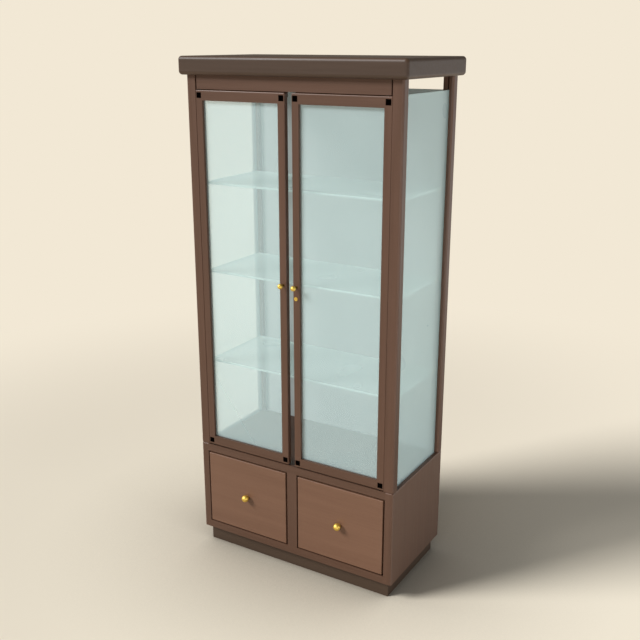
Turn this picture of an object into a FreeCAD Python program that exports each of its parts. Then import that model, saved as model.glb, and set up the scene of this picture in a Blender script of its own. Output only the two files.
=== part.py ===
import FreeCAD, Part
import os
import re
import Sketcher

# Glass display cabinet, in millimetres. +Z is up, the doors face -Y, +X is the viewer's right.
# The origin lies on the floor, under the middle of the box that holds the whole cabinet.

SIZES = {
    # case
    "cabinet_height": 1800,
    "case_width": 800,
    "case_depth": 400,
    "edge_round": 8,
    "seam_round": 4,
    "fit_gap": 0.1,
    # top slab
    "slab_thick": 60,
    "slab_overhang": 20,
    "slab_round": 12,
    # plinth
    "plinth_height": 60,
    "plinth_inset": 20,
    "plinth_board": 20,
    # drawer base
    "base_height": 350,
    "base_side_thick": 30,
    "base_board_thick": 28,
    "divider_thick": 40,
    "base_back_thick": 10,
    "base_back_inset": 2,
    # corner posts
    "post_side": 36,
    "post_tenon_radius": 7,
    "post_tenon_length": 20,
    "post_tenon_inset": 15.5,
    # header rail over the doors
    "header_height": 45,
    "header_thick": 28,
    "header_set_back": 1,
    "header_end_gap": 5,
    "header_tenon_length": 12,
    "header_tenon_thick": 12,
    "header_tenon_height": 26,
    # side panes and back panel
    "pane_thick": 6,
    "back_panel_thick": 9,
    "groove_gap": 0.25,
    "groove_depth": 10,
    "groove_end_gap": 0.5,
    "seat_depth": 8,
    # shelves and the pins that carry them
    "shelf_thick": 8,
    "shelf_round": 1.5,
    "shelf_pane_gap": 5.5,
    "shelf_post_gap": 7,
    "shelf_lower_rise": 316,
    "shelf_middle_rise": 652,
    "shelf_upper_rise": 965,
    "shelf_pin_radius": 3,
    "shelf_pin_reach": 16,
    "shelf_pin_depth": 12,
    "shelf_pin_inset": 5,
    "shelf_collar_radius": 4.5,
    "shelf_collar_thick": 1.5,
    # doors
    "door_thick": 18,
    "door_side_gap": 0.8,
    "door_top_gap": 2.5,
    "door_bottom_gap": 3.5,
    "door_meeting_gap": 26,
    "outer_edge_round": 2,
    "meeting_edge_round": 3,
    "rail_edge_round": 4,
    "stile_width": 25.5,
    "rail_height": 34,
    "rail_tenon_length": 15,
    "rail_tenon_thick": 5.5,
    "rail_tenon_height": 20,
    "rail_tenon_set_back": 6,
    "rail_tenon_edge": 6,
    "glass_thick": 4,
    "glass_set_back": 9.5,
    "rebate_width": 6,
    "glass_edge_gap": 0.5,
    "plug_side": 18,
    "plug_depth": 5.5,
    "plug_proud": 1.5,
    "plug_round": 1.2,
    # door pivots, their bushes and the stops
    "pivot_inset": 18,
    "pivot_set_back": 6,
    "pivot_radius": 2,
    "pivot_length": 12,
    "pivot_plate_length": 20,
    "pivot_plate_width": 4,
    "pivot_plate_thick": 2,
    "running_gap": 0.05,
    "rub_gap": 0.3,
    "bush_radius": 3,
    "bush_depth": 11,
    "bush_collar_radius": 4,
    "stop_offset": 18,
    "stop_end_inset": 46,
    "stop_depth": 11,
    "stop_drop": 18,
    "stop_strip_depth": 6,
    "stop_strip_lap": 20,
    "stop_strip_gap": 1.5,
    # door knobs
    "door_knob_rise": 660,
    "door_knob_ball": 18,
    "door_knob_standoff": 19,
    "door_knob_neck_foot": 3.4,
    "door_knob_neck_tip": 2.6,
    "door_knob_rose_radius": 5,
    "door_knob_rose_thick": 1.5,
    "door_knob_screw_radius": 2,
    "door_knob_screw_length": 12,
    # lock on the right door
    "lock_drop": 40,
    "lock_inset": 12,
    "lock_flange_radius": 6.5,
    "lock_flange_thick": 2.5,
    "lock_body_radius": 4.5,
    "lock_nut_radius": 6,
    "lock_nut_thick": 4.8,
    "lock_plug_radius": 3,
    "lock_plug_sunk": 0.8,
    "lock_rivet_radius": 5,
    "lock_rivet_thick": 1.5,
    "key_slot_width": 1.5,
    "key_slot_height": 4.4,
    "key_slot_depth": 2,
    "cam_length": 52,
    "cam_width": 12,
    "cam_thick": 2.5,
    # drawers
    "drawer_gap": 6,
    "drawer_front_proud": 2,
    "drawer_front_thick": 20,
    "drawer_front_round": 1.5,
    "drawer_back_gap": 23,
    "drawer_lift": 8,
    "drawer_side_thick": 14,
    "drawer_side_height": 220,
    "drawer_side_gap": 4.5,
    "drawer_back_thick": 12,
    "drawer_bottom_thick": 6,
    "drawer_bottom_rise": 12,
    "drawer_bottom_groove": 6,
    "runner_reach": 9,
    "runner_height": 16,
    "runner_end_gap": 18,
    "runner_start": 10,
    "runner_rise": 110,
    "runner_gap": 0.3,
    "drawer_knob_ball": 26,
    "drawer_knob_standoff": 13.5,
    "drawer_knob_neck_foot": 6,
    "drawer_knob_neck_tip": 4.5,
    "drawer_knob_rose_radius": 7,
    "drawer_knob_rose_thick": 2,
    "drawer_knob_screw_radius": 2.5,
    "drawer_knob_screw_length": 14,
}

# Planes and lines of the cabinet, as formulas in the named sizes.
HALF_WIDTH = "(case_width / 2)"
KNOB_REACH = "(drawer_front_proud + drawer_knob_standoff + drawer_knob_ball / 2)"
FRONT = f"(({KNOB_REACH} - case_depth - slab_overhang) / 2)"
BACK = f"({FRONT} + case_depth)"
BASE_TOP = "(plinth_height + base_height)"
SLAB_LOW = "(cabinet_height - slab_thick)"
HEADER_LOW = f"({SLAB_LOW} - header_height)"
POST_INNER = "(case_width / 2 - post_side)"
BASE_INNER = "(case_width / 2 - base_side_thick)"
BASE_BACK_FACE = f"({BACK} - base_back_inset - base_back_thick)"
OPENING_LOW = "(plinth_height + base_board_thick)"
OPENING_HIGH = f"({BASE_TOP} - base_board_thick)"
TENON_X = "(case_width / 2 - post_tenon_inset)"
PANE_X = f"({POST_INNER} + post_side / 2)"
PANEL_Y = f"({BACK} - post_side / 2)"
SEAT_LOW = f"({BASE_TOP} - seat_depth)"
DOOR_OUTER = f"({POST_INNER} - door_side_gap)"
DOOR_INNER = "(door_meeting_gap / 2)"
DOOR_LOW = f"({BASE_TOP} + door_bottom_gap)"
DOOR_HIGH = f"({HEADER_LOW} - door_top_gap)"
DOOR_REAR = f"({FRONT} + door_thick)"
GLASS_FRONT = f"({FRONT} + glass_set_back)"
GLASS_REAR = f"({GLASS_FRONT} + glass_thick)"
PIVOT_X = f"({DOOR_OUTER} - pivot_inset)"
PIVOT_Y = f"({FRONT} + pivot_set_back)"
KNOB_Z = f"({BASE_TOP} + door_knob_rise)"
LOCK_X = f"({DOOR_INNER} + lock_inset)"
LOCK_Z = f"({KNOB_Z} - lock_drop)"
DRAWER_FACE = f"({FRONT} - drawer_front_proud)"
SIDES = (("left", -1), ("right", 1))

doc = FreeCAD.newDocument("display_cabinet")
sheet = doc.addObject("Spreadsheet::Sheet", "sizes")
for row, (alias, value) in enumerate(SIZES.items(), start=1):
    sheet.set(f"A{row}", alias)
    sheet.set(f"B{row}", str(value))
    sheet.setAlias(f"B{row}", alias)
doc.recompute()

NODES = []


def bind(item, prop, formula):
    """Bind a property to a formula in the sheet's named sizes."""
    def cell(word):
        return f"sizes.{word.group()}" if word.group() in SIZES else word.group()
    item.setExpression(prop, re.sub(r"[a-z_]+", cell, formula))


def place(item, x, y, z):
    """Bind an object's position."""
    for axis, formula in zip("xyz", (x, y, z)):
        bind(item, f"Placement.Base.{axis}", formula)


def length(span):
    """Formula for the distance from the low to the high end of a span."""
    return f"({span[1]}) - ({span[0]})"


def outward(sign, near, far):
    """A span given from the cabinet's middle outward, on the side of the sign."""
    if sign > 0:
        return near, far
    return f"-({far})", f"-({near})"


def node(item, name):
    """Give a finished piece its name and put it on the list of pieces."""
    item.Label = name
    NODES.append(item)
    return item


def board(name, x, y, z):
    """A square-edged board between six planes."""
    item = doc.addObject("Part::Box", f"{name}_board")
    for prop, span in (("Length", x), ("Width", y), ("Height", z)):
        bind(item, prop, length(span))
    place(item, x[0], y[0], z[0])
    return item


def edges_between(shape, pairs):
    """Names of a board's edges that lie on both faces of one of the pairs."""
    box = shape.BoundBox
    faces = {
        "left": ("x", box.XMin), "right": ("x", box.XMax),
        "front": ("y", box.YMin), "back": ("y", box.YMax),
        "low": ("z", box.ZMin), "high": ("z", box.ZMax),
    }

    def on_face(point, face):
        axis, level = faces[face]
        return abs(getattr(point, axis) - level) < Part.Precision.confusion() * 10

    names = []
    for number, edge in enumerate(shape.Edges, start=1):
        ends = [vertex.Point for vertex in edge.Vertexes]
        for pair in pairs:
            if all(on_face(point, face) for point in ends for face in pair):
                names.append(f"Edge{number}")
    return names


def rounded_board(name, x, y, z, *roundings):
    """A board with rounded edges: a padded rectangle, then fillets, each a radius and pairs of faces."""
    body = doc.addObject("PartDesign::Body", f"{name}_body")
    plane = next(item for item in body.Origin.OriginFeatures if item.Role == "XY_Plane")
    outline = body.newObject("Sketcher::SketchObject", f"{name}_outline")
    outline.AttachmentSupport = [(plane, "")]
    outline.MapMode = "FlatFace"
    corners = [FreeCAD.Vector(0, 0), FreeCAD.Vector(1, 0), FreeCAD.Vector(1, 1), FreeCAD.Vector(0, 1)]
    for start, end in zip(corners, corners[1:] + corners[:1]):
        outline.addGeometry(Part.LineSegment(start, end))
    for line in range(4):
        outline.addConstraint(Sketcher.Constraint("Coincident", line, 2, (line + 1) % 4, 1))
        direction = "Vertical" if line % 2 else "Horizontal"
        outline.addConstraint(Sketcher.Constraint(direction, line))
    outline.addConstraint(Sketcher.Constraint("Coincident", 0, 1, -1, 1))
    across = outline.addConstraint(Sketcher.Constraint("DistanceX", 0, 1, 0, 2, 1))
    outline.renameConstraint(across, "across")
    deep = outline.addConstraint(Sketcher.Constraint("DistanceY", 1, 1, 1, 2, 1))
    outline.renameConstraint(deep, "deep")
    bind(outline, "Constraints.across", length(x))
    bind(outline, "Constraints.deep", length(y))
    pad = body.newObject("PartDesign::Pad", f"{name}_pad")
    pad.Profile = outline
    bind(pad, "Length", length(z))
    doc.recompute()
    last = pad
    for radius, pairs in roundings:
        rounding = body.newObject("PartDesign::Fillet", f"{name}_rounding")
        rounding.Base = (last, edges_between(last.Shape, pairs))
        bind(rounding, "Radius", radius)
        doc.recompute()
        last = rounding
    place(body, x[0], y[0], z[0])
    return body


def rod(name, axis, start, end, centre, radius):
    """A round bar along axis X, Y or Z from start to end; centre gives its other two places."""
    item = doc.addObject("Part::Cylinder", f"{name}_rod")
    direction = {"X": (1, 0, 0), "Y": (0, 1, 0), "Z": (0, 0, 1)}[axis]
    turn = FreeCAD.Rotation(FreeCAD.Vector(0, 0, 1), FreeCAD.Vector(*direction))
    item.Placement = FreeCAD.Placement(FreeCAD.Vector(), turn)
    bind(item, "Radius", radius)
    bind(item, "Height", f"({end}) - ({start})")
    others = list(centre)
    others.insert("XYZ".index(axis), start)
    place(item, *others)
    return item


def joined(name, items):
    """Several shapes made into one solid."""
    item = doc.addObject("Part::MultiFuse", f"{name}_joined")
    item.Shapes = items
    return item


def cut(name, base, tools):
    """A piece with holes, grooves and rebates taken out of it."""
    item = doc.addObject("Part::Cut", f"{name}_cut")
    item.Base = base
    item.Tool = tools[0] if len(tools) == 1 else joined(f"{name}_tools", tools)
    return item


def group(name, items):
    """Like pieces kept as separate solids of one node."""
    item = doc.addObject("Part::Compound", f"{name}_group")
    item.Links = items
    return node(item, name)


def knob(name, x, face, z, kind):
    """A turned ball knob: screw in the wood, rose on the face, tapered neck and ball."""
    screw_end = f"{face} + {kind}_screw_length"
    screw = rod(f"{name}_screw", "Y", face, screw_end, (x, z), f"{kind}_screw_radius")
    rose_face = f"{face} - {kind}_rose_thick"
    rose = rod(f"{name}_rose", "Y", rose_face, face, (x, z), f"{kind}_rose_radius")
    neck = doc.addObject("Part::Cone", f"{name}_neck")
    toward_viewer = FreeCAD.Rotation(FreeCAD.Vector(0, 0, 1), FreeCAD.Vector(0, -1, 0))
    neck.Placement = FreeCAD.Placement(FreeCAD.Vector(), toward_viewer)
    bind(neck, "Radius1", f"{kind}_neck_foot")
    bind(neck, "Radius2", f"{kind}_neck_tip")
    bind(neck, "Height", f"{kind}_standoff")
    place(neck, x, face, z)
    ball = doc.addObject("Part::Sphere", f"{name}_ball")
    bind(ball, "Radius", f"{kind}_ball / 2")
    place(ball, x, f"{face} - {kind}_standoff", z)
    return node(joined(name, [screw, rose, neck, ball]), name)


def screw_hole(name, x, face, z, kind):
    """The hole that a knob's screw goes into."""
    end = f"{face} + {kind}_screw_length + fit_gap"
    return rod(name, "Y", face, end, (x, z), f"{kind}_screw_radius + fit_gap")


def add_plinth():
    """Four plain boards under the base, set back on all sides."""
    outer_x = f"({HALF_WIDTH} - plinth_inset)"
    outer_y = (f"({FRONT} + plinth_inset)", f"({BACK} - plinth_inset)")
    high = ("0", "plinth_height")
    across = (f"-{outer_x}", outer_x)
    node(board("plinth_front", across, (outer_y[0], f"{outer_y[0]} + plinth_board"), high), "plinth_front")
    node(board("plinth_back", across, (f"{outer_y[1]} - plinth_board", outer_y[1]), high), "plinth_back")
    between = (f"{outer_y[0]} + plinth_board", f"{outer_y[1]} - plinth_board")
    for side, sign in SIDES:
        thick = outward(sign, f"{outer_x} - plinth_board", outer_x)
        node(board(f"plinth_{side}", thick, between, high), f"plinth_{side}")


def post_places():
    """Side, end and the direction signs of the four corner posts."""
    for side, sign in SIDES:
        for end, toward in (("front", 1), ("back", -1)):
            yield side, sign, end, toward


def end_plane(toward, inset):
    """A plane at an inset behind the front face, or ahead of the back face."""
    return f"({FRONT} + {inset})" if toward > 0 else f"({BACK} - ({inset}))"


def from_end(toward, near, far):
    """A span of depth given by insets from the front or the back face."""
    span = end_plane(toward, near), end_plane(toward, far)
    return span if toward > 0 else span[::-1]


def tenon_rod(name, sign, toward, low, high, gap="0"):
    """A post's round tenon, or with a gap the hole for it."""
    centre = (f"{sign} * {TENON_X}", end_plane(toward, "post_tenon_inset"))
    return rod(name, "Z", low, high, centre, f"post_tenon_radius + {gap}")


def pane_groove(name, sign, depth_span, height_span):
    """The slot that a side pane stands in."""
    half = "(pane_thick / 2 + groove_gap)"
    return board(name, outward(sign, f"{PANE_X} - {half}", f"{PANE_X} + {half}"), depth_span, height_span)


PANEL_HALF = "(back_panel_thick / 2 + groove_gap)"
PANEL_SLOT = (f"{PANEL_Y} - {PANEL_HALF}", f"{PANEL_Y} + {PANEL_HALF}")


def add_base():
    """The drawer case: thick boards around two drawer openings, with a groove on top for each pane."""
    inside = (f"-{BASE_INNER}", BASE_INNER)
    depth = (FRONT, BACK)
    node(board("base_bottom", inside, depth, ("plinth_height", OPENING_LOW)), "base_bottom")
    opening = (OPENING_LOW, OPENING_HIGH)
    back_deep = (BASE_BACK_FACE, f"{BASE_BACK_FACE} + base_back_thick")
    node(board("base_back", inside, back_deep, opening), "base_back")
    middle = ("-divider_thick / 2", "divider_thick / 2")
    node(board("base_divider", middle, (FRONT, BASE_BACK_FACE), opening), "base_divider")
    for side, sign in SIDES:
        name = f"base_side_{side}"
        thick = outward(sign, BASE_INNER, HALF_WIDTH)
        blank = rounded_board(name, thick, depth, ("plinth_height", BASE_TOP),
                              ("edge_round", [(side, "front"), (side, "back")]),
                              ("seam_round", [(side, "high")]))
        reach = "post_side - groove_depth"
        tools = [pane_groove(f"{name}_groove", sign, (end_plane(1, reach), end_plane(-1, reach)),
                             (SEAT_LOW, BASE_TOP))]
        for end, toward in (("front", 1), ("back", -1)):
            low = f"{BASE_TOP} - post_tenon_length - fit_gap"
            tools.append(tenon_rod(f"{name}_{end}_hole", sign, toward, low, BASE_TOP, "fit_gap"))
        node(cut(name, blank, tools), name)
    slot = board("deck_slot", inside, PANEL_SLOT, (SEAT_LOW, BASE_TOP))
    bores = [rod(f"deck_bore_{side}", "Z", f"{BASE_TOP} - bush_depth - fit_gap", BASE_TOP,
                 (f"{sign} * {PIVOT_X}", PIVOT_Y), "bush_radius + fit_gap") for side, sign in SIDES]
    node(cut("deck", board("deck", inside, depth, (OPENING_HIGH, BASE_TOP)), [slot] + bores), "deck")


def shelf_levels():
    """Name and underside of each shelf."""
    for level in ("lower", "middle", "upper"):
        yield level, f"({BASE_TOP} + shelf_{level}_rise)"


def shelf_pin_centre(sign, underside):
    """Where a shelf pin's axis runs, across and up: just clear under the shelf."""
    across = f"{sign} * ({POST_INNER} + shelf_pin_inset)"
    return across, f"{underside} - shelf_pin_radius - fit_gap"


def shelf_pin_bar(name, sign, toward, underside, gap="0"):
    """The bar of a shelf pin from its hole in the post to its free end, or the hole itself."""
    free_end = "0" if gap != "0" else "shelf_pin_reach"
    span = from_end(toward, f"post_side - shelf_pin_depth - {gap}", f"post_side + {free_end}")
    return rod(name, "Y", *span, shelf_pin_centre(sign, underside), f"shelf_pin_radius + {gap}")


def add_posts():
    """Square posts with rounded edges, round tenons, glass grooves and holes for the shelf pins."""
    for side, sign, end, toward in post_places():
        name = f"post_{end}_{side}"
        across = outward(sign, POST_INNER, HALF_WIDTH)
        deep = from_end(toward, "0", "post_side")
        high = (BASE_TOP, SLAB_LOW)
        stick = rounded_board(name, across, deep, high, ("edge_round", [(side, "front"), (side, "back")]),
                              ("seam_round", [(side, "low")]))
        foot = tenon_rod(f"{name}_foot", sign, toward, f"{BASE_TOP} - post_tenon_length", BASE_TOP)
        head = tenon_rod(f"{name}_head", sign, toward, SLAB_LOW, f"{SLAB_LOW} + post_tenon_length")
        inner = from_end(toward, "post_side - groove_depth", "post_side")
        tools = [pane_groove(f"{name}_pane_groove", sign, inner, high)]
        inward = outward(sign, POST_INNER, f"{POST_INNER} + groove_depth")
        if end == "back":
            tools.append(board(f"{name}_panel_groove", inward, PANEL_SLOT, high))
        else:
            tools.append(header_tenon(f"{name}_mortise", sign, "fit_gap"))
        for level, underside in shelf_levels():
            tools.append(shelf_pin_bar(f"{name}_{level}_hole", sign, toward, underside, "fit_gap"))
        node(cut(name, joined(f"{name}_stick", [stick, foot, head]), tools), name)


def header_tenon(name, sign, gap="0"):
    """The tenon at one end of the header rail, or with a gap the mortise for it in the post."""
    start = f"{POST_INNER} - header_end_gap"
    across = outward(sign, start, f"{POST_INNER} + header_tenon_length + {gap}")
    middle_y = f"({FRONT} + header_set_back + header_thick / 2)"
    middle_z = f"({HEADER_LOW} + header_height / 2)"
    half_y = f"(header_tenon_thick / 2 + {gap})"
    half_z = f"(header_tenon_height / 2 + {gap})"
    return board(name, across, (f"{middle_y} - {half_y}", f"{middle_y} + {half_y}"),
                 (f"{middle_z} - {half_z}", f"{middle_z} + {half_z}"))


def add_header():
    """The rail over the doors, tenoned into the front posts, bored below for the upper pivot bushes."""
    reach = f"({POST_INNER} - header_end_gap)"
    front = f"({FRONT} + header_set_back)"
    rail = board("header", (f"-{reach}", reach), (front, f"{front} + header_thick"), (HEADER_LOW, SLAB_LOW))
    tenons = [header_tenon(f"header_tenon_{side}", sign) for side, sign in SIDES]
    bores = [rod(f"header_bore_{side}", "Z", HEADER_LOW, f"{HEADER_LOW} + bush_depth + fit_gap",
                 (f"{sign} * {PIVOT_X}", PIVOT_Y), "bush_radius + fit_gap") for side, sign in SIDES]
    node(cut("header_rail", joined("header_stick", [rail] + tenons), bores), "header_rail")


def add_slab():
    """The thick overhanging top with all its edges rounded, bored below for the posts' tenons."""
    reach = f"({HALF_WIDTH} + slab_overhang)"
    deep = (f"{FRONT} - slab_overhang", f"{BACK} + slab_overhang")
    ends = ("left", "right")
    rims = ("front", "back")
    levels = ("low", "high")
    pairs = [(one, two) for one in ends for two in rims + levels]
    pairs += [(one, two) for one in rims for two in levels]
    high = (SLAB_LOW, "cabinet_height")
    blank = rounded_board("slab", (f"-{reach}", reach), deep, high, ("slab_round", pairs))
    holes = [tenon_rod(f"slab_hole_{end}_{side}", sign, toward, SLAB_LOW,
                       f"{SLAB_LOW} + post_tenon_length + fit_gap", "fit_gap")
             for side, sign, end, toward in post_places()]
    node(cut("top_slab", blank, holes), "top_slab")


def add_panes():
    """Glass sides and the opaque back, dropped into the grooves from above, their top edges free."""
    reach = "post_side - groove_depth + groove_end_gap"
    deep = (end_plane(1, reach), end_plane(-1, reach))
    for side, sign in SIDES:
        across = outward(sign, f"{PANE_X} - pane_thick / 2", f"{PANE_X} + pane_thick / 2")
        node(board(f"side_pane_{side}", across, deep, (SEAT_LOW, HEADER_LOW)), f"side_pane_{side}")
    thick = (f"{PANEL_Y} - back_panel_thick / 2", f"{PANEL_Y} + back_panel_thick / 2")
    wide = f"({POST_INNER} + groove_depth - groove_end_gap)"
    narrow = f"({BASE_INNER} - groove_end_gap)"
    panel = board("back_panel", (f"-{wide}", wide), thick, (BASE_TOP, HEADER_LOW))
    tongue = board("back_tongue", (f"-{narrow}", narrow), thick, (SEAT_LOW, BASE_TOP))
    node(joined("back_panel", [panel, tongue]), "back_panel")


def add_shelves():
    """Three glass shelves with softened edges, each on four brass pins in the posts."""
    reach = f"({PANE_X} - pane_thick / 2 - shelf_pane_gap)"
    deep = (end_plane(1, "post_side + shelf_post_gap"), end_plane(-1, "post_side + shelf_post_gap"))
    upright = [(one, two) for one in ("left", "right") for two in ("front", "back")]
    rim = [(one, two) for one in ("left", "right", "front", "back") for two in ("low", "high")]
    pins = []
    for level, underside in shelf_levels():
        name = f"shelf_{level}"
        pane = rounded_board(name, (f"-{reach}", reach), deep, (underside, f"{underside} + shelf_thick"),
                             ("shelf_round", upright + rim))
        node(pane, name)
        for side, sign, end, toward in post_places():
            pin = f"{name}_pin_{end}_{side}"
            bar = shelf_pin_bar(pin, sign, toward, underside)
            span = from_end(toward, "post_side", "post_side + shelf_collar_thick")
            centre = shelf_pin_centre(sign, underside)
            collar = rod(f"{pin}_collar", "Y", *span, centre, "shelf_collar_radius")
            pins.append(joined(pin, [bar, collar]))
    group("shelf_pins", pins)


def add_pivot_bushes():
    """Steel bushes let into deck and header, with collars that the doors run on."""
    bushes = []
    for side, sign in SIDES:
        centre = (f"{sign} * {PIVOT_X}", PIVOT_Y)
        levels = (
            ("low", f"{BASE_TOP} - bush_depth", BASE_TOP, BASE_TOP, f"{DOOR_LOW} - rub_gap"),
            ("high", HEADER_LOW, f"{HEADER_LOW} + bush_depth", f"{DOOR_HIGH} + rub_gap", HEADER_LOW),
        )
        for level, sleeve_low, sleeve_high, collar_low, collar_high in levels:
            name = f"bush_{level}_{side}"
            sleeve = rod(f"{name}_sleeve", "Z", sleeve_low, sleeve_high, centre, "bush_radius")
            collar = rod(f"{name}_collar", "Z", collar_low, collar_high, centre, "bush_collar_radius")
            span = (sleeve_low, collar_high) if level == "low" else (collar_low, sleeve_high)
            bore = rod(f"{name}_bore", "Z", *span, centre, "pivot_radius + running_gap")
            bushes.append(cut(name, joined(f"{name}_blank", [sleeve, collar]), [bore]))
    group("pivot_bushes", bushes)


def add_door_stops():
    """Battens under the header that the doors close against, each with a strip behind the door's heel."""
    rear = f"({DOOR_REAR} + rub_gap + stop_depth)"
    high = (f"{HEADER_LOW} - stop_drop", HEADER_LOW)
    far_end = f"({POST_INNER} - stop_end_inset)"
    stops = []
    for side, sign in SIDES:
        stops.append(board(f"stop_{side}", outward(sign, "stop_offset", far_end),
                           (f"{DOOR_REAR} + rub_gap", rear), high))
        stops.append(board(f"stop_strip_{side}",
                           outward(sign, f"{far_end} - stop_strip_lap", f"{POST_INNER} - stop_strip_gap"),
                           (rear, f"{rear} + stop_strip_depth"), high))
    group("door_stops", stops)


def opposite(side):
    """The other side's name."""
    return "left" if side == "right" else "right"


def plug_places(sign):
    """Middle of each ebony plug: on the stile's centre line, level with the rail's middle."""
    stiles = {"outer": f"({DOOR_OUTER} - stile_width / 2)", "meeting": f"({DOOR_INNER} + stile_width / 2)"}
    levels = {"low": f"({DOOR_LOW} + rail_height / 2)", "high": f"({DOOR_HIGH} - rail_height / 2)"}
    for stile, x in stiles.items():
        for level, z in levels.items():
            yield stile, level, f"({sign} * {x})", z


def rail_tenon(name, sign, stile, level, gap="0"):
    """A door rail's tenon in a stile, or with a gap the mortise for it."""
    if stile == "outer":
        root = f"({DOOR_OUTER} - stile_width)"
        across = outward(sign, root, f"{root} + rail_tenon_length + {gap}")
    else:
        root = f"({DOOR_INNER} + stile_width)"
        across = outward(sign, f"{root} - rail_tenon_length - {gap}", root)
    face = f"({FRONT} + rail_tenon_set_back)"
    deep = (f"{face} - {gap}", f"{face} + rail_tenon_thick + {gap}")
    low = f"({DOOR_LOW} + rail_tenon_edge)"
    if level == "high":
        low = f"({DOOR_HIGH} - rail_tenon_edge - rail_tenon_height)"
    return board(name, across, deep, (f"{low} - {gap}", f"{low} + rail_tenon_height + {gap}"))


def pivot_plate(name, sign, level, gap="0"):
    """A pivot's plate let into the end of the outer stile, or with a gap the recess for it."""
    middle = f"({DOOR_OUTER} - stile_width / 2)"
    half_x = f"(pivot_plate_length / 2 + {gap})"
    across = outward(sign, f"{middle} - {half_x}", f"{middle} + {half_x}")
    half_y = f"(pivot_plate_width / 2 + {gap})"
    deep = (f"{PIVOT_Y} - {half_y}", f"{PIVOT_Y} + {half_y}")
    high = (f"{DOOR_LOW} - {gap}", f"{DOOR_LOW} + pivot_plate_thick + {gap}")
    if level == "high":
        high = (f"{DOOR_HIGH} - pivot_plate_thick - {gap}", f"{DOOR_HIGH} + {gap}")
    return board(name, across, deep, high)


def sight_span():
    """Heights of the glass opening's edges, and of the rebate around it."""
    low = f"({DOOR_LOW} + rail_height)"
    high = f"({DOOR_HIGH} - rail_height)"
    return low, high, f"({low} - rebate_width)", f"({high} + rebate_width)"


def add_door(side, sign):
    """A framed glass door: tenoned stiles and rails, ebony plugs, glass held by beads, knob and pivots."""
    door = f"door_{side}"
    sight_low, sight_high, rebate_low, rebate_high = sight_span()
    inner_sight = f"({DOOR_INNER} + stile_width)"
    outer_sight = f"({DOOR_OUTER} - stile_width)"
    inner_rebate = f"({inner_sight} - rebate_width)"
    outer_rebate = f"({outer_sight} + rebate_width)"
    knob_x = f"({sign} * ({DOOR_INNER} + stile_width / 2))"
    deep = (FRONT, DOOR_REAR)
    rebate_deep = (GLASS_FRONT, DOOR_REAR)
    ends = [("front", "low"), ("front", "high")]

    plugs = []
    plug_holes = {"outer": [], "meeting": []}
    half = "(plug_side / 2)"
    for stile, level, x, z in plug_places(sign):
        across = (f"{x} - {half}", f"{x} + {half}")
        high = (f"{z} - {half}", f"{z} + {half}")
        rim = [("front", face) for face in ("left", "right", "low", "high")]
        plug_deep = (f"{FRONT} - plug_proud", f"{FRONT} + plug_depth")
        name = f"{door}_plug_{stile}_{level}"
        plugs.append(rounded_board(name, across, plug_deep, high, ("plug_round", rim)))
        plug_holes[stile].append(board(f"{door}_plug_hole_{stile}_{level}", across,
                                       (FRONT, f"{FRONT} + plug_depth"), high))

    stiles = (
        ("outer", outward(sign, outer_sight, DOOR_OUTER), outward(sign, outer_sight, outer_rebate), side),
        ("meeting", outward(sign, DOOR_INNER, inner_sight), outward(sign, inner_rebate, inner_sight),
         opposite(side)),
    )
    for stile, across, rebate, edge in stiles:
        name = f"{door}_{stile}_stile"
        blank = rounded_board(name, across, deep, (DOOR_LOW, DOOR_HIGH), ("rail_edge_round", ends),
                              (f"{stile}_edge_round", [(edge, "front")]))
        trough = board(f"{name}_rebate", rebate, rebate_deep, (rebate_low, rebate_high))
        tools = [trough] + plug_holes[stile]
        for level in ("low", "high"):
            tools.append(rail_tenon(f"{name}_{level}_mortise", sign, stile, level, "fit_gap"))
            if stile == "outer":
                tools.append(pivot_plate(f"{name}_{level}_recess", sign, level, "fit_gap"))
        if stile == "meeting":
            tools.append(screw_hole(f"{name}_knob_hole", knob_x, FRONT, KNOB_Z, "door_knob"))
            if side == "right":
                tools += lock_holes(name)
        node(cut(name, blank, tools), name)

    rails = (
        ("bottom", "low", (DOOR_LOW, sight_low), (rebate_low, sight_low)),
        ("top", "high", (sight_high, DOOR_HIGH), (sight_high, rebate_high)),
    )
    between = outward(sign, inner_sight, outer_sight)
    for rail, level, high, rebate in rails:
        name = f"{door}_{rail}_rail"
        blank = rounded_board(name, between, deep, high, ("rail_edge_round", [("front", level)]))
        tenons = [rail_tenon(f"{name}_{stile}_tenon", sign, stile, level) for stile in ("outer", "meeting")]
        trough = board(f"{name}_rebate", between, rebate_deep, rebate)
        node(cut(name, joined(f"{name}_stick", [blank] + tenons), [trough]), name)

    gap = "glass_edge_gap"
    glass_wide = outward(sign, f"{inner_rebate} + {gap}", f"{outer_rebate} - {gap}")
    glass_high = (f"{rebate_low} + {gap}", f"{rebate_high} - {gap}")
    node(board(f"{door}_glass", glass_wide, (GLASS_FRONT, GLASS_REAR), glass_high), f"{door}_glass")
    bead_deep = (GLASS_REAR, DOOR_REAR)
    bead_high = (rebate_low, rebate_high)
    group(f"{door}_beads", [
        board(f"{door}_bead_inner", outward(sign, inner_rebate, inner_sight), bead_deep, bead_high),
        board(f"{door}_bead_outer", outward(sign, outer_sight, outer_rebate), bead_deep, bead_high),
        board(f"{door}_bead_low", between, bead_deep, (rebate_low, sight_low)),
        board(f"{door}_bead_high", between, bead_deep, (sight_high, rebate_high)),
    ])
    group(f"{door}_plugs", plugs)
    knob(f"{door}_knob", knob_x, FRONT, KNOB_Z, "door_knob")

    centre = (f"{sign} * {PIVOT_X}", PIVOT_Y)
    pivots = []
    for level, start, end in (("low", f"{DOOR_LOW} - pivot_length", DOOR_LOW),
                              ("high", DOOR_HIGH, f"{DOOR_HIGH} + pivot_length")):
        name = f"{door}_pivot_{level}"
        pin = rod(f"{name}_pin", "Z", start, end, centre, "pivot_radius")
        pivots.append(joined(name, [pivot_plate(f"{name}_plate", sign, level), pin]))
    group(f"{door}_pivots", pivots)


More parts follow.
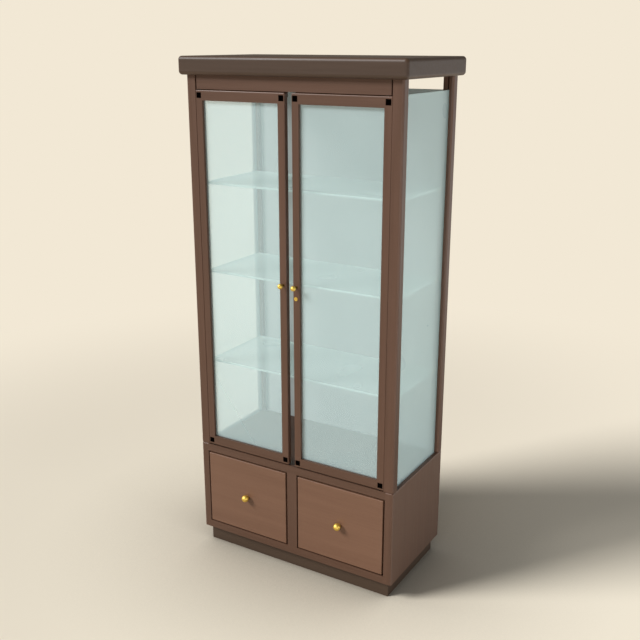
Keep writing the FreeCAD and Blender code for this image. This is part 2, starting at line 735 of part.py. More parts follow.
def lock_holes(name):
    """Bore for the lock's barrel and the pocket behind it for the nut."""
    centre = (LOCK_X, LOCK_Z)
    bore = rod(f"{name}_lock_bore", "Y", FRONT, DOOR_REAR, centre, "lock_body_radius + fit_gap")
    pocket = rod(f"{name}_nut_pocket", "Y", f"{DOOR_REAR} - lock_nut_thick - fit_gap", DOOR_REAR, centre,
                 "lock_nut_radius + fit_gap")
    return [bore, pocket]


def add_lock():
    """A cam lock: flanged barrel and nut in the stile, and a plug that turns the cam behind the doors."""
    centre = (LOCK_X, LOCK_Z)
    flange = f"({FRONT} - lock_flange_thick)"
    plate = rod("lock_flange", "Y", flange, FRONT, centre, "lock_flange_radius")
    shank = rod("lock_shank", "Y", FRONT, DOOR_REAR, centre, "lock_body_radius")
    bore = rod("lock_bore", "Y", flange, DOOR_REAR, centre, "lock_plug_radius + running_gap")
    node(cut("lock_barrel", joined("lock_barrel_blank", [plate, shank]), [bore]), "lock_barrel")

    nut_face = f"({DOOR_REAR} - lock_nut_thick)"
    ring = rod("lock_nut_ring", "Y", nut_face, DOOR_REAR, centre, "lock_nut_radius")
    thread = rod("lock_nut_thread", "Y", nut_face, DOOR_REAR, centre, "lock_body_radius + fit_gap")
    node(cut("lock_nut", ring, [thread]), "lock_nut")

    cam_face = f"({DOOR_REAR} + rub_gap)"
    cam_back = f"({cam_face} + cam_thick)"
    plug_face = f"({flange} + lock_plug_sunk)"
    core = rod("lock_core", "Y", plug_face, cam_back, centre, "lock_plug_radius")
    rivet = rod("lock_rivet", "Y", cam_back, f"{cam_back} + lock_rivet_thick", centre, "lock_rivet_radius")
    slot_x = (f"{LOCK_X} - key_slot_width / 2", f"{LOCK_X} + key_slot_width / 2")
    slot_z = (f"{LOCK_Z} - key_slot_height / 2", f"{LOCK_Z} + key_slot_height / 2")
    slot = board("lock_slot", slot_x, (plug_face, f"{plug_face} + key_slot_depth"), slot_z)
    node(cut("lock_plug", joined("lock_plug_blank", [core, rivet]), [slot]), "lock_plug")

    hub = rod("cam_hub", "Y", cam_face, cam_back, centre, "cam_width / 2")
    arm = board("cam_arm", (f"{LOCK_X} - cam_width / 2", f"{LOCK_X} + cam_width / 2"), (cam_face, cam_back),
                (f"{LOCK_Z} - cam_length", LOCK_Z))
    eye = rod("cam_eye", "Y", cam_face, cam_back, centre, "lock_plug_radius + fit_gap")
    node(cut("lock_cam", joined("lock_cam_blank", [hub, arm]), [eye]), "lock_cam")


RUNNER_LOW = f"({OPENING_LOW} + runner_rise)"
RUNNER_START = f"({DRAWER_FACE} + drawer_front_thick + runner_start)"


# The two walls of a drawer's opening: name, plane, and the direction into the opening.
DRAWER_WALLS = (("outer", BASE_INNER, -1), ("inner", "(divider_thick / 2)", 1))


def inside_wall(sign, wall, into, near, far):
    """A span across the cabinet given by distances from a drawer wall into its opening."""
    if into > 0:
        return outward(sign, f"{wall} + {near}", f"{wall} + {far}")
    return outward(sign, f"{wall} - ({far})", f"{wall} - ({near})")


def add_runners():
    """Hardwood runners fixed to the walls of both drawer openings."""
    deep = (RUNNER_START, f"{BASE_BACK_FACE} - runner_end_gap")
    high = (RUNNER_LOW, f"{RUNNER_LOW} + runner_height")
    group("drawer_runners", [
        board(f"runner_{side}_{wall_name}", inside_wall(sign, wall, into, "0", "runner_reach"), deep, high)
        for side, sign in SIDES for wall_name, wall, into in DRAWER_WALLS])


def add_drawer(side, sign):
    """A drawer: slightly proud front with knob, grooved sides that hang on the runners, back and bottom."""
    drawer = f"drawer_{side}"
    front_rear = f"({DRAWER_FACE} + drawer_front_thick)"
    rear = f"({BASE_BACK_FACE} - drawer_back_gap)"
    side_low = f"({OPENING_LOW} + drawer_lift)"
    side_high = f"({side_low} + drawer_side_height)"
    bottom_low = f"({side_low} + drawer_bottom_rise)"
    bottom_high = f"({bottom_low} + drawer_bottom_thick)"
    knob_x = f"({sign} * ({BASE_INNER} + divider_thick / 2) / 2)"
    knob_z = f"(({OPENING_LOW} + {OPENING_HIGH}) / 2)"
    box_near = "(divider_thick / 2 + drawer_side_gap + drawer_side_thick)"
    box_far = f"({BASE_INNER} - drawer_side_gap - drawer_side_thick)"

    bottom_x = outward(sign, f"{box_near} - drawer_bottom_groove", f"{box_far} + drawer_bottom_groove")
    bottom_y = (f"{front_rear} - drawer_bottom_groove", rear)
    slot_x = outward(sign, f"{box_near} - drawer_bottom_groove - fit_gap",
                     f"{box_far} + drawer_bottom_groove + fit_gap")
    slot = (slot_x, (f"{front_rear} - drawer_bottom_groove - fit_gap", rear),
            (f"{bottom_low} - fit_gap", f"{bottom_high} + fit_gap"))

    name = f"{drawer}_front"
    across = outward(sign, "divider_thick / 2 + drawer_gap", f"{BASE_INNER} - drawer_gap")
    rim = [("front", face) for face in ("left", "right", "low", "high")]
    blank = rounded_board(name, across, (DRAWER_FACE, front_rear),
                          (f"{OPENING_LOW} + drawer_gap", f"{OPENING_HIGH} - drawer_gap"),
                          ("drawer_front_round", rim))
    hole = screw_hole(f"{name}_hole", knob_x, DRAWER_FACE, knob_z, "drawer_knob")
    node(cut(name, blank, [hole, board(f"{name}_slot", *slot)]), name)

    for wall_name, wall, into in DRAWER_WALLS:
        name = f"{drawer}_{wall_name}_side"
        across = inside_wall(sign, wall, into, "drawer_side_gap", "drawer_side_gap + drawer_side_thick")
        track_wide = inside_wall(sign, wall, into, "drawer_side_gap", "runner_reach + runner_gap")
        track = board(f"{name}_track", track_wide, (f"{RUNNER_START} - runner_gap", rear),
                      (f"{RUNNER_LOW} - runner_gap", f"{RUNNER_LOW} + runner_height + runner_gap"))
        blank = board(name, across, (front_rear, rear), (side_low, side_high))
        node(cut(name, blank, [track, board(f"{name}_slot", *slot)]), name)

    box_x = outward(sign, box_near, box_far)
    node(board(f"{drawer}_back", box_x, (f"{rear} - drawer_back_thick", rear),
               (f"{bottom_high} + fit_gap", side_high)), f"{drawer}_back")
    node(board(f"{drawer}_bottom", bottom_x, bottom_y, (bottom_low, bottom_high)), f"{drawer}_bottom")
    knob(f"{drawer}_knob", knob_x, DRAWER_FACE, knob_z, "drawer_knob")


add_plinth()
add_base()
add_posts()
add_header()
add_slab()
add_panes()
add_shelves()
add_pivot_bushes()
add_door_stops()
add_runners()
for hand, hand_sign in SIDES:
    add_door(hand, hand_sign)
    add_drawer(hand, hand_sign)
add_lock()
doc.recompute()

faults = [item.Name for item in doc.Objects if {"Invalid", "Error"} & set(item.State)]
faults += [item.Label for item in NODES if item.Shape.isNull() or not item.Shape.isValid()]
if faults:
    raise RuntimeError(f"failed pieces: {faults}")

os.makedirs("parts", exist_ok=True)
for item in NODES:
    item.Shape.exportStep(f"parts/{item.Label}.step")
whole = Part.makeCompound([item.Shape for item in NODES]).BoundBox
print(len(NODES), "pieces;", "box", [round(level, 3) for level in (
    whole.XMin, whole.XMax, whole.YMin, whole.YMax, whole.ZMin, whole.ZMax)])
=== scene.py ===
import math

import bpy
import numpy as np
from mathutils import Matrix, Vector


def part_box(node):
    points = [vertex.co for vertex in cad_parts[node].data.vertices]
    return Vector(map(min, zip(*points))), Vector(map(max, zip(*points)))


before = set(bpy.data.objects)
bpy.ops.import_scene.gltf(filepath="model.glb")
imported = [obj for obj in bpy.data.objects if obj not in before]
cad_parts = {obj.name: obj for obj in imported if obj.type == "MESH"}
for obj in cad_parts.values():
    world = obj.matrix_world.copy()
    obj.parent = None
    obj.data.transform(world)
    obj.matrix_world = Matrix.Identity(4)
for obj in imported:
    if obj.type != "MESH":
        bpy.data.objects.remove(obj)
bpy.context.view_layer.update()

# Plinth: four boards of dark-stained walnut, planed and oiled, set back under the base. They are butted
# at the corners and screwed to the base's bottom board, with the grain along each board.
PLINTH_DARK, PLINTH_LIGHT = "#3e3026", "#46372b"
PLINTH_ROUGHNESS, PLINTH_SHINE = 0.5, 0.3
FACES_AXIS = 0.7  # part of the normal along an axis from which a face counts as facing that way
RUBBED_GAIN = 1.7  # how much lighter than the light tone a rubbed edge is
FIBRE_SHEEN = 0.05  # how far the roughness goes up and down from fibre to fibre


def linear(code):
    """An sRGB hex colour as linear red, green, blue and a full alpha."""
    parts = np.array([int(code[i:i + 2], 16) for i in (1, 3, 5)]) / 255
    curve = np.where(parts <= 0.04045, parts / 12.92, ((parts + 0.055) / 1.055) ** 2.4)
    return (*(float(part) for part in curve), 1.0)


def add_node(tree, kind, sockets=None, **settings):
    """Adds a shader node; a socket's value is a number or colour to set, or an output to link."""
    node = tree.nodes.new(kind)
    for name, value in settings.items():
        setattr(node, name, value)
    for name, value in (sockets or {}).items():
        if isinstance(value, bpy.types.NodeSocket):
            tree.links.new(value, node.inputs[name])
        else:
            node.inputs[name].default_value = value
    return node


def new_material(name):
    """An empty material with its output node."""
    material = bpy.data.materials.new(name)
    material.use_nodes = True
    material.node_tree.nodes.clear()
    return material, material.node_tree, material.node_tree.nodes.new("ShaderNodeOutputMaterial")


def dress(material, *names):
    """Puts a material on CAD nodes."""
    for name in names:
        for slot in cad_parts[name].material_slots:
            slot.material = material


def oiled_wood(name, dark, light, along, roughness=0.46, shine=0.4, painted_side_light=0.0):
    """Planed and oiled wood: long fibres, pores and slow bands of tone along one axis, a low satin sheen.

    Fibres are 6 mm across, coarser than real ones so that they show, and 260 mm long; bands of tone are
    45 mm across and 900 mm long; pores are 0.9 mm across and 14 mm long. Each board has a tone of its own,
    and rounded edges are rubbed paler in patches. A board given a share of painted side light has painted
    light and sheen on its faces that look sideways: a pale grey laid over them by that share.
    """
    material, tree, output = new_material(name)
    place = add_node(tree, "ShaderNodeTexCoord")

    def streaks(width_mm, length_mm, detail):
        """Noise drawn out along the grain."""
        scale = [1000 / width_mm] * 3
        scale["XYZ".index(along)] = 1000 / length_mm
        drawn_out = add_node(tree, "ShaderNodeMapping", {"Vector": place.outputs["Object"], "Scale": scale})
        noise = add_node(tree, "ShaderNodeTexNoise", {
            "Vector": drawn_out.outputs["Vector"], "Scale": 1.0, "Detail": detail, "Roughness": 0.6})
        return noise.outputs["Fac"]

    fibres = streaks(width_mm=6, length_mm=260, detail=3.0)
    bands = streaks(width_mm=45, length_mm=900, detail=2.0)
    pores = streaks(width_mm=0.9, length_mm=14, detail=1.0)

    # grain, from the dark tone to the light one
    tone = add_node(tree, "ShaderNodeMix", {"Factor": 0.45, "A": bands, "B": fibres})
    grain = add_node(tree, "ShaderNodeValToRGB", {"Fac": tone.outputs["Result"]})
    darkest, lightest = grain.color_ramp.elements
    darkest.position = 0.32
    darkest.color = linear(dark)
    lightest.position = 0.68
    lightest.color = linear(light)

    # the board's own tone, and its darker pores
    board = add_node(tree, "ShaderNodeObjectInfo")
    own_tone = add_node(tree, "ShaderNodeMapRange", {
        "Value": board.outputs["Random"], "To Min": 0.95, "To Max": 1.05})
    open_pores = add_node(tree, "ShaderNodeMapRange", {
        "Value": pores, "From Min": 0.6, "From Max": 0.7, "To Min": 1.0, "To Max": 0.9})
    shade = add_node(tree, "ShaderNodeMath", {
        0: own_tone.outputs["Result"], 1: open_pores.outputs["Result"]}, operation="MULTIPLY")
    colour = add_node(tree, "ShaderNodeMix", {
        "Factor": 1.0, "A": grain.outputs["Color"], "B": shade.outputs["Value"]},
        data_type="RGBA", blend_type="MULTIPLY")

    # rubbed edges: a surface that turns away from all three axes is a rounded edge
    normal = add_node(tree, "ShaderNodeSeparateXYZ", {"Vector": place.outputs["Normal"]})
    sideways, forward, upward = (
        add_node(tree, "ShaderNodeMath", {0: normal.outputs[axis]}, operation="ABSOLUTE").outputs["Value"]
        for axis in "XYZ")
    level = add_node(tree, "ShaderNodeMath", {0: sideways, 1: forward}, operation="MAXIMUM")
    flat = add_node(tree, "ShaderNodeMath", {0: level.outputs["Value"], 1: upward}, operation="MAXIMUM")
    edge = add_node(tree, "ShaderNodeMapRange", {
        "Value": flat.outputs["Value"], "From Min": 0.99, "From Max": 0.85, "To Min": 0.0, "To Max": 0.4})
    patches = add_node(tree, "ShaderNodeMapRange", {
        "Value": bands, "From Min": 0.35, "From Max": 0.6, "To Min": 0.3, "To Max": 1.0})
    rubbed = add_node(tree, "ShaderNodeMath", {
        0: edge.outputs["Result"], 1: patches.outputs["Result"]}, operation="MULTIPLY")
    rubbed_tone = [min(1.0, RUBBED_GAIN * part) for part in linear(light)[:3]] + [1.0]
    colour = add_node(tree, "ShaderNodeMix", {
        "Factor": rubbed.outputs["Value"], "A": colour.outputs["Result"], "B": rubbed_tone},
        data_type="RGBA")

    # painted light and sheen: faces that look sideways get a pale grey laid over them by the given share
    if painted_side_light:
        side_face = add_node(tree, "ShaderNodeMath", {0: sideways, 1: FACES_AXIS}, operation="GREATER_THAN")
        side_light = add_node(tree, "ShaderNodeMath", {
            0: side_face.outputs["Value"], 1: painted_side_light}, operation="MULTIPLY")
        side_light_tone = linear("#957f72")
        colour = add_node(tree, "ShaderNodeMix", {
            "Factor": side_light.outputs["Value"], "A": colour.outputs["Result"], "B": side_light_tone},
            data_type="RGBA")

    sheen = add_node(tree, "ShaderNodeMapRange", {
        "Value": fibres, "From Min": 0.3, "From Max": 0.7,
        "To Min": roughness - FIBRE_SHEEN, "To Max": roughness + FIBRE_SHEEN})
    relief = add_node(tree, "ShaderNodeBump", {"Height": fibres, "Strength": 0.12, "Distance": 0.0004})
    surface = add_node(tree, "ShaderNodeBsdfPrincipled", {
        "Base Color": colour.outputs["Result"], "Roughness": sheen.outputs["Result"],
        "Specular IOR Level": shine, "Normal": relief.outputs["Normal"]})
    tree.links.new(surface.outputs["BSDF"], output.inputs["Surface"])
    return material


# dark-stained walnut: nearly plain, with little sheen
dress(oiled_wood("dark_walnut_across", PLINTH_DARK, PLINTH_LIGHT, "X", PLINTH_ROUGHNESS, PLINTH_SHINE),
      "plinth_front", "plinth_back")
dress(oiled_wood("dark_walnut_deep", PLINTH_DARK, PLINTH_LIGHT, "Y", PLINTH_ROUGHNESS, PLINTH_SHINE),
      "plinth_left", "plinth_right")

# Drawer base: thick walnut boards round two openings, glued flush at the front, with a plain birch board
# let in behind. The sides' grain stands upright like the posts', and their outer faces carry painted light
# and sheen, a pale grey laid over the walnut.
WALNUT_DARK, WALNUT_LIGHT = "#4b3325", "#553b2d"
BIRCH_DARK, BIRCH_LIGHT = "#a98a66", "#b89a75"
# oiled walnut: dark brown with a satin sheen; one material for each run of the grain
walnut_across = oiled_wood("walnut_across", WALNUT_DARK, WALNUT_LIGHT, "X")
walnut_upright = oiled_wood("walnut_upright", WALNUT_DARK, WALNUT_LIGHT, "Z")
# walnut with painted light and sheen on the sides' faces that look sideways
walnut_painted_side_light = oiled_wood("walnut_painted_side_light", WALNUT_DARK, WALNUT_LIGHT, "Z", painted_side_light=0.14)
dress(walnut_across, "base_bottom", "deck")
dress(walnut_upright, "base_divider")
dress(walnut_painted_side_light, "base_side_left", "base_side_right")
# planed birch: pale yellow-brown and dull
birch_across = oiled_wood("birch_across", BIRCH_DARK, BIRCH_LIGHT, "X", roughness=0.55)
dress(birch_across, "base_back")

# Drawer runners: four planed birch battens, screwed to the walls of the drawer openings. The grooved
# drawer sides run on them, so they are a little smoother than the base's back board.
birch_deep = oiled_wood("birch_deep", BIRCH_DARK, BIRCH_LIGHT, "Y", roughness=0.5)
dress(birch_deep, "drawer_runners")

# Corner posts and header rail: square walnut sticks with eased edges, the posts with a round tenon at each
# end, in the base and in the slab. The header is tenoned between the front posts, behind their faces.
dress(walnut_upright, "post_front_left", "post_front_right", "post_back_left", "post_back_right")
dress(walnut_across, "header_rail")

# Side panes: sheets of pale blue-green glass, dropped into the grooves of the posts and the base. The glass
# is clouded: it glows in the light and veils what is behind it, the more the flatter one looks along it.
PANE_FACE, PANE_EDGE = "#daf1f2", "#a9cfc4"
PANE_CLEAR, PANE_EDGE_ALPHA = 0.755, 0.8
SLANT_POWER = -0.6  # -1 for an even film; this is matched to the photograph
LEAST_COSINE = 0.05  # keeps the power finite where one looks along the glass
GLOW_SHARE = 0.12  # of the film's light, sent onward


def clouded_glass(name, face, edge, flat_axis, clear, edge_alpha):
    """Clouded sheet glass: a pale film that scatters light back and, a little, onward; edges hide more.

    clear is the share that passes one face straight on. At a slant less passes, clear to the power of the
    cosine to the slant power, because the way through the film is longer there.
    """
    material, tree, output = new_material(name)
    place = add_node(tree, "ShaderNodeTexCoord")
    normal = add_node(tree, "ShaderNodeSeparateXYZ", {"Vector": place.outputs["Normal"]})
    flat = add_node(tree, "ShaderNodeMath", {0: normal.outputs[flat_axis]}, operation="ABSOLUTE")
    on_face = add_node(tree, "ShaderNodeMath", {
        0: flat.outputs["Value"], 1: FACES_AXIS}, operation="GREATER_THAN")

    slant = add_node(tree, "ShaderNodeLayerWeight", {"Blend": 0.5})
    cosine = add_node(tree, "ShaderNodeMath", {0: 1.0, 1: slant.outputs["Facing"]}, operation="SUBTRACT")
    held_cosine = add_node(tree, "ShaderNodeMath", {
        0: cosine.outputs["Value"], 1: LEAST_COSINE}, operation="MAXIMUM")
    way = add_node(tree, "ShaderNodeMath", {
        0: held_cosine.outputs["Value"], 1: SLANT_POWER}, operation="POWER")
    passed = add_node(tree, "ShaderNodeMath", {0: clear, 1: way.outputs["Value"]}, operation="POWER")
    veil = add_node(tree, "ShaderNodeMath", {0: 1.0, 1: passed.outputs["Value"]}, operation="SUBTRACT")
    seen = add_node(tree, "ShaderNodeMix", {
        "Factor": on_face.outputs["Value"], "A": edge_alpha, "B": veil.outputs["Value"]})
    colour = add_node(tree, "ShaderNodeMix", {
        "Factor": on_face.outputs["Value"], "A": linear(edge), "B": linear(face)}, data_type="RGBA")

    # slow drift of the gloss and the level, as in rolled glass, about 160 mm across
    drift = add_node(tree, "ShaderNodeTexNoise", {
        "Vector": place.outputs["Object"], "Scale": 1000 / 160, "Detail": 1.0})
    dull = add_node(tree, "ShaderNodeMapRange", {
        "Value": drift.outputs["Fac"], "To Min": 0.22, "To Max": 0.38})
    ripple = add_node(tree, "ShaderNodeBump", {
        "Height": drift.outputs["Fac"], "Strength": 0.02, "Distance": 0.002})
    film = add_node(tree, "ShaderNodeBsdfPrincipled", {
        "Base Color": colour.outputs["Result"], "Roughness": dull.outputs["Result"], "IOR": 1.45,
        "Normal": ripple.outputs["Normal"]})
    glow = add_node(tree, "ShaderNodeBsdfTranslucent", {"Color": colour.outputs["Result"]})
    cloud = add_node(tree, "ShaderNodeMixShader", {
        "Fac": GLOW_SHARE, 1: film.outputs["BSDF"], 2: glow.outputs["BSDF"]})
    clear_part = add_node(tree, "ShaderNodeBsdfTransparent")
    surface = add_node(tree, "ShaderNodeMixShader", {
        "Fac": seen.outputs["Result"], 1: clear_part.outputs["BSDF"], 2: cloud.outputs["Shader"]})
    tree.links.new(surface.outputs["Shader"], output.inputs["Surface"])
    return material


# clouded float glass: a milky blue-green veil, greener at the cut edges
dress(clouded_glass("clouded_glass_side", PANE_FACE, PANE_EDGE, "X", PANE_CLEAR, PANE_EDGE_ALPHA),
      "side_pane_left", "side_pane_right")

# Back panel: a board faced with pale grey laminate, dropped into the grooves of the back posts and the
# deck. Its top edge is free, below the slab.
PANEL_GREY = "#b0b5b4"


def pale_laminate(name, code):
    """Matte laminate: a faint mottle about 4 mm across on an even tone, and the same mottle as relief."""
    material, tree, output = new_material(name)
    place = add_node(tree, "ShaderNodeTexCoord")
    mottle = add_node(tree, "ShaderNodeTexNoise", {
        "Vector": place.outputs["Object"], "Scale": 1000 / 4, "Detail": 2.0})
    shade = add_node(tree, "ShaderNodeMapRange", {
        "Value": mottle.outputs["Fac"], "To Min": 0.985, "To Max": 1.015})
    colour = add_node(tree, "ShaderNodeMix", {
        "Factor": 1.0, "A": linear(code), "B": shade.outputs["Result"]},
        data_type="RGBA", blend_type="MULTIPLY")
    relief = add_node(tree, "ShaderNodeBump", {
        "Height": mottle.outputs["Fac"], "Strength": 0.08, "Distance": 0.0003})
    surface = add_node(tree, "ShaderNodeBsdfPrincipled", {
        "Base Color": colour.outputs["Result"], "Roughness": 0.6, "Normal": relief.outputs["Normal"]})
    tree.links.new(surface.outputs["BSDF"], output.inputs["Surface"])
    return material


# melamine laminate: pale, even and dull
dress(pale_laminate("pale_laminate", PANEL_GREY), "back_panel")

# Top slab: one thick board of dark-stained walnut with all its edges rounded, set on the posts' tenons.
# It is darker than the plinth, and has the posts' shine.
SLAB_DARK, SLAB_LIGHT = "#39291d", "#402e21"
dress(oiled_wood("dark_walnut_slab", SLAB_DARK, SLAB_LIGHT, "X", roughness=0.5), "top_slab")

# Shelves: three sheets of the same glass with polished edges, which show as pale lines. Each lies loose on
# four turned brass pins in the posts.
SHELF_FACE, SHELF_EDGE = "#dcf3ef", "#d4e8e3"
SHELF_CLEAR, SHELF_EDGE_ALPHA = 0.83, 0.75
BRASS, BRASS_ROUGHNESS = "#dcbb5e", 0.5


def turned_metal(name, code, roughness, shaded_behind=None):
    """Turned metal: faint turning marks about 1.5 mm across and soft smears of handling about 9 mm across.

    The marks are coarser than real ones so that they show. Behind a given depth the colour turns a dark
    brown: painted shade, for the shade that the ball of a knob casts on its neck and rose.
    """
    material, tree, output = new_material(name)
    place = add_node(tree, "ShaderNodeTexCoord")
    smears = add_node(tree, "ShaderNodeTexNoise", {
        "Vector": place.outputs["Object"], "Scale": 1000 / 9, "Detail": 2.0})
    clean, smeared = roughness - 0.05, roughness + 0.08
    dull = add_node(tree, "ShaderNodeMapRange", {
        "Value": smears.outputs["Fac"], "From Min": 0.3, "From Max": 0.7, "To Min": clean, "To Max": smeared})
    marks = add_node(tree, "ShaderNodeTexNoise", {
        "Vector": place.outputs["Object"], "Scale": 1000 / 1.5, "Detail": 1.0})
    relief = add_node(tree, "ShaderNodeBump", {
        "Height": marks.outputs["Fac"], "Strength": 0.05, "Distance": 0.0002})
    tint = add_node(tree, "ShaderNodeMapRange", {
        "Value": smears.outputs["Fac"], "To Min": 0.9, "To Max": 1.1})
    colour = add_node(tree, "ShaderNodeMix", {
        "Factor": 1.0, "A": linear(code), "B": tint.outputs["Result"]},
        data_type="RGBA", blend_type="MULTIPLY")

    # painted shade: behind the given depth the colour turns dark brown, where a knob's ball shades its neck
    if shaded_behind is not None:
        shade_brown = linear("#5a4620")
        fade = 0.001
        depth = add_node(tree, "ShaderNodeSeparateXYZ", {"Vector": place.outputs["Object"]})
        neck_shade = add_node(tree, "ShaderNodeMapRange", {
            "Value": depth.outputs["Y"], "From Min": shaded_behind - fade,
            "From Max": shaded_behind + fade, "To Max": 0.9})
        colour = add_node(tree, "ShaderNodeMix", {
            "Factor": neck_shade.outputs["Result"], "A": colour.outputs["Result"], "B": shade_brown},
            data_type="RGBA")

    surface = add_node(tree, "ShaderNodeBsdfPrincipled", {
        "Base Color": colour.outputs["Result"], "Metallic": 1.0, "Roughness": dull.outputs["Result"],
        "Normal": relief.outputs["Normal"]})
    tree.links.new(surface.outputs["BSDF"], output.inputs["Surface"])
    return material


# polished float glass: a thinner veil than the panes', with bright edges
dress(clouded_glass("clouded_glass_shelf", SHELF_FACE, SHELF_EDGE, "Z", SHELF_CLEAR, SHELF_EDGE_ALPHA),
      "shelf_lower", "shelf_middle", "shelf_upper")
# lacquered brass: warm yellow with a soft, broad highlight
brass = turned_metal("polished_brass", BRASS, BRASS_ROUGHNESS)
dress(brass, "shelf_pins")

# Pivot bushes and door stops: bushes of blackened steel, pressed into the deck and the header, and two
# walnut battens under the header, each with a strip behind its outer end, that the doors close against.
BLACKENED, BLACKENED_ROUGHNESS = "#3a3836", 0.4
# blackened steel: dark grey with a dull gloss
blackened_steel = turned_metal("blackened_steel", BLACKENED, BLACKENED_ROUGHNESS)
dress(blackened_steel, "pivot_bushes")
dress(walnut_across, "door_stops")

# Doors: walnut frames, mortised and tenoned, each corner marked by a square ebony plug. The glass lies in
# a rebate behind beads; steel pivots, let into the stile ends, carry the door, and a brass ball opens it.
EBONY_DARK, EBONY_LIGHT = "#020101", "#060403"
KNOB_NECK = 0.01025  # from the door's face to the ball
door_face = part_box("door_left_meeting_stile")[0].y
# ebony: close-grained and black, without a gloss
ebony = oiled_wood("ebony", EBONY_DARK, EBONY_LIGHT, "Z", roughness=0.6, shine=0.0)
# brass with painted shade: dark brown on the neck and the rose, behind the ball
brass_shaded_neck = turned_metal("brass_shaded_neck", BRASS, BRASS_ROUGHNESS, shaded_behind=door_face - KNOB_NECK)
# the side panes' glass, lying across the cabinet
door_glass = clouded_glass("clouded_glass_door", PANE_FACE, PANE_EDGE, "Y", PANE_CLEAR, PANE_EDGE_ALPHA)
for side in ("left", "right"):
    door = f"door_{side}"
    dress(walnut_upright, f"{door}_outer_stile", f"{door}_meeting_stile", f"{door}_beads")
    dress(walnut_across, f"{door}_top_rail", f"{door}_bottom_rail")
    dress(ebony, f"{door}_plugs")
    dress(door_glass, f"{door}_glass")
    dress(brass_shaded_neck, f"{door}_knob")
    dress(blackened_steel, f"{door}_pivots")

# Lock: a cam lock in the right door's meeting stile, with a turned brass barrel and plug in front. Behind
# the stile a plated steel nut holds the barrel, and the plug turns a plated steel cam.
PLATED, PLATED_ROUGHNESS = "#b9bab8", 0.32
dress(brass, "lock_barrel", "lock_plug")
# zinc-plated steel: pale grey with a clearer gloss than the brass
dress(turned_metal("plated_steel", PLATED, PLATED_ROUGHNESS), "lock_nut", "lock_cam")

# Drawers: fronts of lighter walnut with the grain across and a brass ball each, glued to birch boxes. The
# boxes' grooved sides hang on the runners.
FRONT_DARK, FRONT_LIGHT = "#624534", "#6c4e3c"
# lighter walnut: the same satin sheen as the frame's
front_across = oiled_wood("light_walnut_across", FRONT_DARK, FRONT_LIGHT, "X")
for side in ("left", "right"):
    drawer = f"drawer_{side}"
    dress(front_across, f"{drawer}_front")
    dress(birch_deep, f"{drawer}_outer_side", f"{drawer}_inner_side", f"{drawer}_bottom")
    dress(birch_across, f"{drawer}_back")
    dress(brass, f"{drawer}_knob")

# Floor: a wide, flat disc of matte pale paint under the cabinet, with painted shade where the cabinet stands
# close over it. Far out it takes on the backdrop's colour, so that no edge shows.
BACKDROP, FLOOR_COLOUR = "#f2e8d5", "#ebe1ce"
FLOOR_RADIUS, FLOOR_MIDDLE = 14.0, 0.05
FLOOR_RINGS, FLOOR_SPOKES = 24, 96
FADE_START, FADE_END = 1.4, 3.4
PAINTED_SHADE_REACH = 0.7


def floor_disc():
    """A flat disc: rings at even steps of radius and spokes at even steps of angle, joined in quads.

    One face fills the innermost ring.
    """
    radius = np.linspace(FLOOR_MIDDLE, FLOOR_RADIUS, FLOOR_RINGS)[:, None]
    angle = np.linspace(0, 2 * np.pi, FLOOR_SPOKES, endpoint=False)[None, :]
    x = radius * np.cos(angle)
    y = radius * np.sin(angle)
    points = np.stack([x, y, np.zeros_like(x)], axis=-1).reshape(-1, 3)
    ring, spoke = np.meshgrid(np.arange(FLOOR_RINGS - 1), np.arange(FLOOR_SPOKES), indexing="ij")
    after = (spoke + 1) % FLOOR_SPOKES
    inner, outer = ring * FLOOR_SPOKES, (ring + 1) * FLOOR_SPOKES
    quads = np.stack([inner + spoke, outer + spoke, outer + after, inner + after], axis=-1).reshape(-1, 4)
    middle = list(range(FLOOR_SPOKES))
    mesh = bpy.data.meshes.new("floor")
    mesh.from_pydata(points.tolist(), [], quads.tolist() + [middle])
    return mesh


floor = bpy.data.objects.new("floor", floor_disc())
bpy.context.collection.objects.link(floor)
# matte floor paint: pale cream, with no gloss
paint, paint_tree, paint_output = new_material("pale_floor")
paint_place = add_node(paint_tree, "ShaderNodeTexCoord")
distance = add_node(paint_tree, "ShaderNodeVectorMath", {
    0: paint_place.outputs["Object"]}, operation="LENGTH")
far = add_node(paint_tree, "ShaderNodeMapRange", {
    "Value": distance.outputs["Value"], "From Min": FADE_START, "From Max": FADE_END},
    interpolation_type="SMOOTHSTEP")
# painted shade: an occlusion node darkens the floor's colour near the cabinet, out to the shade's reach
floor_shade = add_node(paint_tree, "ShaderNodeAmbientOcclusion", {
    "Color": linear(FLOOR_COLOUR), "Distance": PAINTED_SHADE_REACH}, samples=8)
near_floor = add_node(paint_tree, "ShaderNodeBsdfDiffuse", {"Color": floor_shade.outputs["Color"]})
far_floor = add_node(paint_tree, "ShaderNodeEmission", {"Color": linear(BACKDROP)})
floor_mix = add_node(paint_tree, "ShaderNodeMixShader", {
    "Fac": far.outputs["Result"], 1: near_floor.outputs["BSDF"], 2: far_floor.outputs["Emission"]})
paint_tree.links.new(floor_mix.outputs["Shader"], paint_output.inputs["Surface"])
floor.data.materials.append(paint)

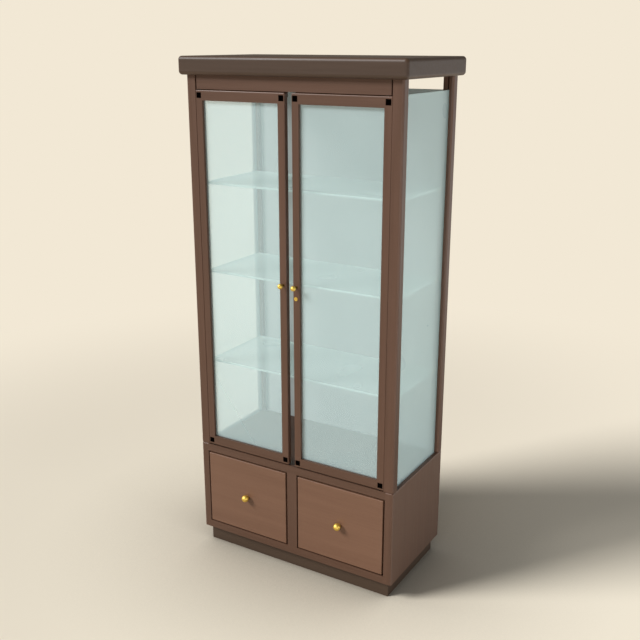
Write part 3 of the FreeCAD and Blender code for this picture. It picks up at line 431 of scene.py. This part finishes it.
# Backdrop: an even sheet of the floor's far colour, which the camera sees in full and glossy surfaces
# mirror dimly. All other light from around is a weak white sky.
SKY_STRENGTH, BACKDROP_IN_GLOSS = 0.10, 0.3
WHITE = "#ffffff"
scene = bpy.context.scene
world = bpy.data.worlds.new("studio")
scene.world = world
world.use_nodes = True
world.node_tree.nodes.clear()
ray = add_node(world.node_tree, "ShaderNodeLightPath")
sky = add_node(world.node_tree, "ShaderNodeBackground", {
    "Color": linear(WHITE), "Strength": SKY_STRENGTH})
backdrop = add_node(world.node_tree, "ShaderNodeBackground", {"Color": linear(BACKDROP), "Strength": 1.0})
in_gloss = add_node(world.node_tree, "ShaderNodeMath", {
    0: ray.outputs["Is Glossy Ray"], 1: BACKDROP_IN_GLOSS}, operation="MULTIPLY")
visible = add_node(world.node_tree, "ShaderNodeMath", {
    0: ray.outputs["Is Camera Ray"], 1: in_gloss.outputs["Value"]}, operation="MAXIMUM")
world_mix = add_node(world.node_tree, "ShaderNodeMixShader", {
    "Fac": visible.outputs["Value"], 1: sky.outputs["Background"], 2: backdrop.outputs["Background"]})
add_node(world.node_tree, "ShaderNodeOutputWorld", {"Surface": world_mix.outputs["Shader"]})

# Lamps: a broad key light from the left front, which gives the long soft shadow, and three soft boxes
# that lift the front, the right side and the rear edges.
KEY_STRENGTH, KEY_SPREAD = 4.1, math.radians(21)
KEY_AZIMUTH, KEY_HEIGHT = math.radians(47), math.radians(35)
COOL_WHITE = "#f6faff"
key = bpy.data.objects.new("key", bpy.data.lights.new("key", "SUN"))
key.data.energy = KEY_STRENGTH
key.data.angle = KEY_SPREAD
key.rotation_euler = (math.pi / 2 - KEY_HEIGHT, 0, -KEY_AZIMUTH)
bpy.context.collection.objects.link(key)


def soft_box(name, watts, size, place, toward, code):
    """A square area lamp at a place, turned to face a point."""
    lamp = bpy.data.objects.new(name, bpy.data.lights.new(name, "AREA"))
    lamp.data.energy = watts
    lamp.data.size = size
    lamp.data.color = linear(code)[:3]
    lamp.location = place
    lamp.rotation_euler = (Vector(toward) - Vector(place)).to_track_quat("-Z", "Y").to_euler()
    bpy.context.collection.objects.link(lamp)


soft_box("rear_fill", watts=25, size=2.5, place=(2.6, 2.6, 1.1), toward=(0, 0, 0.7), code=COOL_WHITE)
soft_box("right_fill", watts=30, size=0.9, place=(3.6, -0.6, 0.5), toward=(0.4, 0, 0.7), code=COOL_WHITE)
soft_box("front_fill", watts=50, size=3.0, place=(1.86, -3.99, 1.1), toward=(0, 0, 0.9), code=WHITE)

# Camera: at the photograph's place, to the right of the front and just above the top slab's height. It
# looks down at the middle of the cabinet.
CAMERA_PLACE = (1.5521, -2.5818, 1.8446)
CAMERA_TILT, CAMERA_TURN = math.radians(72.60), math.radians(31.02)
camera = bpy.data.objects.new("camera", bpy.data.cameras.new("camera"))
camera.data.lens = 50
camera.data.sensor_width = 36
camera.location = CAMERA_PLACE
camera.rotation_euler = (CAMERA_TILT, 0, CAMERA_TURN)
bpy.context.collection.objects.link(camera)
scene.camera = camera
scene.view_settings.view_transform = "Standard"
